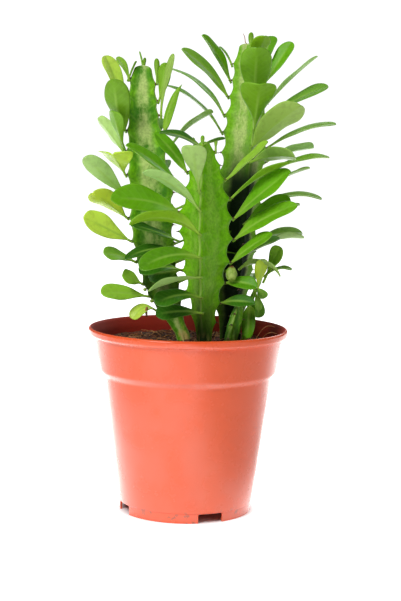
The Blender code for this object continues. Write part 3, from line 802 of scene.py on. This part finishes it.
class Tree:
    """A material's nodes, with a short call for each kind in use."""

    def __init__(self, name, roughness):
        self.material = bpy.data.materials.new(name)
        self.material.use_nodes = True
        self.nodes = self.material.node_tree.nodes
        self.links = self.material.node_tree.links
        self.shader = self.nodes["Principled BSDF"]
        if roughness is not None:
            self.shader.inputs["Roughness"].default_value = roughness

    def feed(self, socket, value):
        if isinstance(value, bpy.types.NodeSocket):
            self.links.new(value, socket)
        elif isinstance(value, tuple) and len(value) == 3:
            socket.default_value = (*value, 1) if len(socket.default_value) == 4 else value
        else:
            socket.default_value = value

    def attribute(self, name, colour=False):
        node = self.nodes.new("ShaderNodeAttribute")
        node.attribute_name = name
        return node.outputs["Color" if colour else "Fac"]

    def maths(self, operation, a, b=0.5):
        node = self.nodes.new("ShaderNodeMath")
        node.operation = operation
        self.feed(node.inputs[0], a)
        self.feed(node.inputs[1], b)
        return node.outputs[0]

    def band(self, value, low, high, to_low=0.0, to_high=1.0):
        """value carried smoothly from low..high to to_low..to_high."""
        node = self.nodes.new("ShaderNodeMapRange")
        node.interpolation_type = "SMOOTHSTEP"
        self.feed(node.inputs["Value"], value)
        for key, number in (("From Min", low), ("From Max", high), ("To Min", to_low), ("To Max", to_high)):
            node.inputs[key].default_value = number
        return node.outputs["Result"]

    def mix(self, factor, a, b, blend="MIX"):
        node = self.nodes.new("ShaderNodeMix")
        node.data_type = "RGBA"
        node.blend_type = blend
        self.feed(node.inputs["Factor"], factor)
        self.feed(node.inputs["A"], a)
        self.feed(node.inputs["B"], b)
        return node.outputs["Result"]

    def place(self, scale=(1, 1, 1)):
        where = self.nodes.new("ShaderNodeTexCoord")
        node = self.nodes.new("ShaderNodeMapping")
        self.links.new(where.outputs["Object"], node.inputs["Vector"])
        node.inputs["Scale"].default_value = scale
        return node.outputs["Vector"]

    def noise(self, scale, detail=3, stretch=(1, 1, 1), rough=0.55):
        node = self.nodes.new("ShaderNodeTexNoise")
        self.links.new(self.place(stretch), node.inputs["Vector"])
        node.inputs["Scale"].default_value = scale
        node.inputs["Detail"].default_value = detail
        node.inputs["Roughness"].default_value = rough
        return node.outputs["Fac"]

    def cells(self, scale):
        node = self.nodes.new("ShaderNodeTexVoronoi")
        self.links.new(self.place(), node.inputs["Vector"])
        node.inputs["Scale"].default_value = scale
        return node.outputs["Distance"]

    def axis(self, name):
        node = self.nodes.new("ShaderNodeSeparateXYZ")
        self.links.new(self.place(), node.inputs["Vector"])
        return node.outputs[name]

    def squared(self, name, middle_mm):
        """The square of how far a point is from middle_mm along an axis."""
        away = self.maths("SUBTRACT", self.axis(name), float(middle_mm * MM))
        return self.maths("MULTIPLY", away, away)

    def from_axis(self):
        """How far a point is from the pot's axis."""
        squares = self.maths("ADD", self.squared("X", POT_AXIS[0]), self.squared("Y", POT_AXIS[1]))
        return self.maths("POWER", squares, 0.5)

    def product(self, first, *others):
        """All the values multiplied together."""
        for other in others:
            first = self.maths("MULTIPLY", first, other)
        return first

    def bump(self, height, strength, distance_mm):
        node = self.nodes.new("ShaderNodeBump")
        node.inputs["Strength"].default_value = strength
        node.inputs["Distance"].default_value = distance_mm * MM
        self.links.new(height, node.inputs["Height"])
        self.links.new(node.outputs["Normal"], self.shader.inputs["Normal"])

    def colour(self, value):
        self.feed(self.shader.inputs["Base Color"], value)
        return self.material


def leaf_material():
    """Each leaf's own tone, a pale midrib, faint side veins, a lighter stalk and margin."""
    tree = Tree("leaf_flesh", 0.4)
    tree.shader.inputs["Specular IOR Level"].default_value = 0.22
    tone = tree.attribute("tone", colour=True)
    along = tree.attribute("along")
    aside = tree.maths("ABSOLUTE", tree.attribute("across"))
    upper = tree.attribute("upper")
    mottle = tree.band(tree.noise(260, 4), 0.3, 0.7, 0.86, 1.14)
    tone = tree.mix(1.0, tone, tree.mix(mottle, (0, 0, 0), (1, 1, 1)), "MULTIPLY")
    vein_phase = tree.maths("SUBTRACT", tree.product(along, 62.0), tree.product(aside, 11.0))
    veins = tree.band(tree.maths("SINE", vein_phase), 0.4, 1.0, 0.0, 0.045)
    veins = tree.product(veins, tree.band(aside, 0.7, 0.95, 1.0, 0.0))
    tone = tree.mix(veins, tone, (0.42, 0.66, 0.16))
    rib = tree.band(tree.attribute("from_rib"), 0.2, 1.5, 0.5, 0.0)
    rib = tree.product(rib, tree.band(along, 0.55, 0.97, 1.0, 0.0))
    tone = tree.mix(rib, tone, (0.36, 0.6, 0.09))
    tone = tree.mix(tree.band(along, 0.0, 0.4, 0.6, 0.0), tone, (0.34, 0.56, 0.05))
    edge = tree.product(tree.band(aside, 0.9, 1.0, 0.0, 0.4), upper)
    tone = tree.mix(edge, tone, (0.34, 0.58, 0.08))
    tree.bump(tree.noise(500, 3), 0.3, 0.25)
    return tree.colour(tone)


def stem_material(name, shade_from, pale, dark, painted_shade_below):
    """Green flesh, paler and mottled between the ribs, with veins that run up to the areoles.

    Low down it is darker, most of all on the near side, in the shade between the stems. shade_from
    is where that starts to fade towards the back and towards the right, in mm.
    """
    tree = Tree(name, None)
    tree.shader.inputs["Specular IOR Level"].default_value = 0.15
    nearness = tree.attribute("nearness")
    blotches = tree.noise(150, 5, (1, 1, 0.5), 0.65)
    fine = tree.noise(620, 3)
    base = tree.mix(tree.band(blotches, 0.35, 0.68), dark, (0.22, 0.56, 0.006))
    middle = tree.band(nearness, 0.1, 0.75, 1.0, 0.0)
    cream = tree.product(middle, tree.band(blotches, 0.3, 0.62), pale)
    base = tree.mix(cream, base, (0.55, 0.7, 0.22))
    inward = tree.product(tree.maths("SUBTRACT", 1.0, nearness), 0.9)
    climb = tree.maths("ADD", tree.attribute("phase"), inward)
    climb = tree.maths("ADD", climb, tree.product(blotches, 0.25))
    sway = tree.maths("ABSOLUTE", tree.maths("SUBTRACT", tree.maths("FRACT", climb), 0.5))
    veins = tree.product(tree.band(sway, 0.36, 0.5, 0.0, 0.32), tree.band(nearness, 0.05, 0.5))
    base = tree.mix(veins, base, (0.34, 0.56, 0.08))
    base = tree.mix(tree.band(fine, 0.35, 0.7, 0.0, 0.35), base, (0.05, 0.17, 0.003))
    base = tree.mix(tree.band(nearness, 0.93, 1.0, 0.0, 0.75), base, (0.34, 0.52, 0.1))
    height = tree.axis("Z")
    low, high, strength, at_foot, corky = painted_shade_below
    near, right = shade_from
    # Painted shade: the lower stem is darkened towards near black, most on its near side, for the shade
    # between the stems.
    low_part_and_painted_shade = tree.product(
        tree.band(height, low * MM, high * MM, strength, 0.0),
        tree.band(height, 0.122, 0.136, at_foot, 1.0),
        tree.band(tree.axis("Y"), near * MM, (near + 9) * MM, 1.0, BACK_PAINTED_SHADE),
        tree.band(tree.axis("X"), right * MM, (right + 8) * MM, 1.0, RIGHT_PAINTED_SHADE),
    )
    tree.feed(tree.shader.inputs["Roughness"], tree.maths("ADD", 0.45, tree.product(low_part_and_painted_shade, 0.5)))
    # The painted shade's near-black colour.
    base = tree.mix(low_part_and_painted_shade, base, (0.005, 0.015, 0.003))
    cork = tree.product(tree.band(height, 0.112, 0.126, 1.0, 0.0), tree.band(blotches, 0.46, 0.62), corky)
    base = tree.mix(cork, base, (0.56, 0.42, 0.14))
    tree.bump(tree.maths("ADD", fine, tree.product(blotches, 2.0)), 0.5, 0.4)
    return tree.colour(base)


def spine_material():
    tree = Tree("spine_horn", 0.55)
    streaks = tree.band(tree.noise(500), 0.35, 0.65)
    return tree.colour(tree.mix(streaks, (0.03, 0.014, 0.008), (0.15, 0.075, 0.03)))


def bud_material():
    """Olive skin with a brown scar on top."""
    tree = Tree("bud_skin", 0.45)
    skin = tree.mix(tree.band(tree.noise(420, 4), 0.35, 0.65), (0.2, 0.34, 0.03), (0.38, 0.52, 0.09))
    low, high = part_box("bud")
    top = tree.band(tree.axis("Z"), low.z + 0.86 * (high.z - low.z), high.z, 0.0, 1.0)
    tree.bump(tree.noise(700, 2), 0.3, 0.3)
    return tree.colour(tree.mix(top, skin, (0.16, 0.06, 0.02)))


def pot_material():
    """Glossy moulded plastic with faint flow marks, scuffs, specks of soil, and darker patches near the
    foot.
    """
    tree = Tree("pot_plastic", None)
    flow = tree.noise(14, 3, (1, 1, 0.25))
    body = tree.mix(tree.band(flow, 0.3, 0.7), (0.85, 0.1, 0.022), (0.89, 0.12, 0.03))
    scuffs = tree.band(tree.noise(90, 6, (1, 1, 0.5), 0.7), 0.66, 0.74)
    height = tree.axis("Z")
    low_down = tree.band(height, 0.004, 0.03, 1.0, 0.12)
    body = tree.mix(tree.product(scuffs, low_down, 0.55), body, (0.93, 0.55, 0.42))
    specks = tree.band(tree.noise(420, 2), 0.775, 0.8)
    body = tree.mix(tree.product(specks, 0.7), body, (0.12, 0.05, 0.03))
    # Darker patches towards the foot of the pot.
    darker_foot_patches = tree.product(tree.band(tree.noise(240, 5), 0.56, 0.66), tree.band(height, 0.002, 0.011, 0.7, 0.0))
    body = tree.mix(darker_foot_patches, body, (0.16, 0.08, 0.05))
    # Painted shade: the collar's inner wall is coloured a dark red, for the shade inside the pot.
    skin = tree.maths("SUBTRACT", tree.from_axis(), tree.product(height, INSIDE_SLOPE))
    flare = tree.maths("MAXIMUM", tree.maths("SUBTRACT", height, POT_INSIDE[1][1] * MM), 0.0)
    skin = tree.maths("SUBTRACT", skin, tree.product(flare, 0.4))
    inner_side = tree.band(skin, INSIDE_AT - MM / 4, INSIDE_AT, 1.0, 0.0)
    painted_inner_shade = tree.product(inner_side, tree.band(height, 0.09, 0.1))
    body = tree.mix(painted_inner_shade, body, (0.34, 0.012, 0.001))
    rough = tree.band(tree.noise(60, 5), 0.3, 0.75, 0.2, 0.34)
    rough = tree.maths("ADD", rough, tree.product(painted_inner_shade, 0.5))
    tree.feed(tree.shader.inputs["Roughness"], rough)
    tree.bump(tree.noise(70, 3), 0.12, 0.3)
    return tree.colour(body)


def soil_material(name, dark, light, red):
    tree = Tree(name, 0.95)
    grains = tree.noise(520, 6, rough=0.75)
    base = tree.mix(tree.band(grains, 0.38, 0.66), dark, light)
    base = tree.mix(tree.band(tree.noise(90, 3), 0.5, 0.62, 0.0, 0.7), base, red)
    tree.bump(tree.maths("ADD", grains, tree.cells(420)), 0.9, 0.8)
    return tree.colour(base)


def straw_material():
    tree = Tree("dry_straw", 0.7)
    streaks = tree.band(tree.noise(300), 0.35, 0.65)
    return tree.colour(tree.mix(streaks, (0.34, 0.12, 0.03), (0.6, 0.28, 0.1)))


def floor_material():
    """White to the camera but for the shade under the foot, and brightest in reflections on the left."""
    tree = Tree("pale_floor", 0.6)
    path = tree.nodes.new("ShaderNodeLightPath")
    x = tree.axis("X")
    # Painted reflection: to glossy rays the floor glows brightest on the left and towards the back, for the
    # pot to mirror.
    painted_reflection_glow = tree.product(tree.band(x, 0.0, 0.11, FLOOR_MIRRORED, 0.3), tree.band(x, -0.3, -0.1, 0.4, 1.0))
    painted_reflection_glow = tree.maths("ADD", painted_reflection_glow, tree.band(tree.axis("Y"), 0.05, 0.3, 0.0, 1.2))
    mirrored = tree.product(path.outputs["Is Glossy Ray"], painted_reflection_glow)
    # Painted shadow: the floor does not glow under the pot's foot.
    open_floor = tree.band(tree.from_axis(), 0.038, 0.05)
    seen = tree.band(path.outputs["Is Camera Ray"], 0.0, 1.0, FLOOR_LIGHT, FLOOR_SEEN)
    glow = tree.product(open_floor, tree.maths("ADD", seen, mirrored))
    tree.shader.inputs["Emission Color"].default_value = (1, 1, 1, 1)
    tree.feed(tree.shader.inputs["Emission Strength"], glow)
    return tree.colour(tree.mix(tree.noise(3, 2), (0.86, 0.86, 0.86), (0.9, 0.9, 0.9)))


# ---------------------------------------------------------------------------------------------
# Stage
# ---------------------------------------------------------------------------------------------


def floor():
    bpy.ops.mesh.primitive_plane_add(size=12)
    obj = bpy.context.object
    obj.name = "floor"
    obj.data.materials.append(floor_material())


def area_light(name, place, target, size, power, colour=(1, 1, 1)):
    """A soft box at place, in metres from the pot's axis, that faces target."""
    data = bpy.data.lights.new(name, "AREA")
    data.shape = "RECTANGLE"
    data.size, data.size_y = size
    data.energy = power
    data.color = colour
    obj = bpy.data.objects.new(name, data)
    bpy.context.scene.collection.objects.link(obj)
    axis = Vector(POT_AXIS * MM)
    turn = (Vector(place) - Vector(target)).to_track_quat("Z", "Y")
    obj.matrix_world = Matrix.Translation(axis + Vector(place)) @ turn.to_matrix().to_4x4()
    obj.visible_camera = False


def lights():
    area_light("key", (-1.1, -1.4, 1.6), (0, 0, 0.12), (0.9, 0.9), 35)
    area_light("fill", (1.4, -1.2, 0.7), (0, 0, 0.15), (1.2, 1.4), 3, (0.95, 0.96, 1))
    area_light("back", (0.5, 1.5, 1.3), (0, 0, 0.15), (1.6, 1.2), 14)


def world():
    """White all round, as the camera sees it, and dimmer as a light."""
    made = bpy.data.worlds.new("studio")
    bpy.context.scene.world = made
    made.use_nodes = True
    nodes, links = made.node_tree.nodes, made.node_tree.links
    background = nodes["Background"]
    background.inputs["Color"].default_value = (1, 1, 1, 1)
    path = nodes.new("ShaderNodeLightPath")
    seen = nodes.new("ShaderNodeMapRange")
    links.new(path.outputs["Is Camera Ray"], seen.inputs["Value"])
    seen.inputs["To Min"].default_value = WORLD_LIGHT
    seen.inputs["To Max"].default_value = WORLD_SEEN
    links.new(seen.outputs["Result"], background.inputs["Strength"])


def camera():
    data = bpy.data.cameras.new("camera")
    data.lens = CAMERA_LENS
    data.sensor_width = 36
    data.clip_start = 0.01
    obj = bpy.data.objects.new("camera", data)
    bpy.context.scene.collection.objects.link(obj)
    place = Matrix.Translation((np.array(CAMERA_PLACE) + POT_AXIS) * MM)
    tilt = Matrix.Rotation(radians(90 - CAMERA_PITCH), 4, "X")
    obj.matrix_world = place @ tilt @ Matrix.Rotation(radians(CAMERA_ROLL), 4, "Z")
    bpy.context.scene.camera = obj


def main():
    camera()
    floor()
    lights()
    world()
    bpy.context.scene.view_settings.view_transform = "Standard"
    pot_piece(pot_material())
    soil_piece(soil_material("peat", (0.02, 0.009, 0.005), (0.16, 0.046, 0.013), (0.14, 0.018, 0.004)))
    rng = np.random.default_rng(SEED)
    noise.seed_set(SEED)  # noise_vector takes its offsets from the clock without this
    crumb = soil_material("peat_crumbs", (0.03, 0.012, 0.006), (0.21, 0.075, 0.024), (0.15, 0.028, 0.008))
    crumbs_piece("soil_crumbs", crumb, 900, (0.5, 1.7), rng)
    straw = straw_material()
    fibres_piece("soil_fibres", straw, 260, (3, 11), 0.2, rng)
    straw_arcs(straw)
    # How pale the stem is between its ribs, its dark green, and the painted shade on its lower part: the
    # heights in mm between which that fades out, its strength, how much of that is left at the foot,
    # and how corky the foot is.
    looks = {
        "stem_front": (0.2, (0.17, 0.5, 0.003), (114, 150, 0.97, 1, 0.2)),
        "stem_left": (1.2, (0.06, 0.26, 0.006), (140, 205, 0.85, 0.1, 1)),
        "stem_right": (1.4, (0.24, 0.5, 0.05), (214, 246, 1, 1, 0)),
        "side_shoot": (0.3, (0.18, 0.42, 0.02), (100, 104, 0.5, 1, 0)),
        "base_shoot": (0.3, (0.06, 0.28, 0.01), (118, 124, 0.7, 1, 0)),
    }
    horn = spine_material()
    for name, look in looks.items():
        sections = STEMS[name][1]
        shade_from = (sections[0][2] - 3, POT_AXIS[0] + sections[-4][1] + 1)
        stem_piece(name, stem_material(name + "_skin", shade_from, *look))
        spines_piece(name, horn, rng)
    flesh = leaf_material()
    leaves = {**LEAVES, **rear_leaves(), **tip_leaves()}
    for name, spec in leaves.items():
        tone = next((tone for tone, names in LEAVES_BY_TONE.items() if name in names), "green")
        leaf_piece(name, spec, flesh, tone, rng)
    bud_skin = bud_material()
    points, faces = lump(BUD_CENTRE, BUD_SIZE, 0.12, 2, 4)
    finish_piece(add_piece("bud_ball", points, faces, bud_skin), "bud", "bud")
    leftovers(straw, bud_skin)


main()
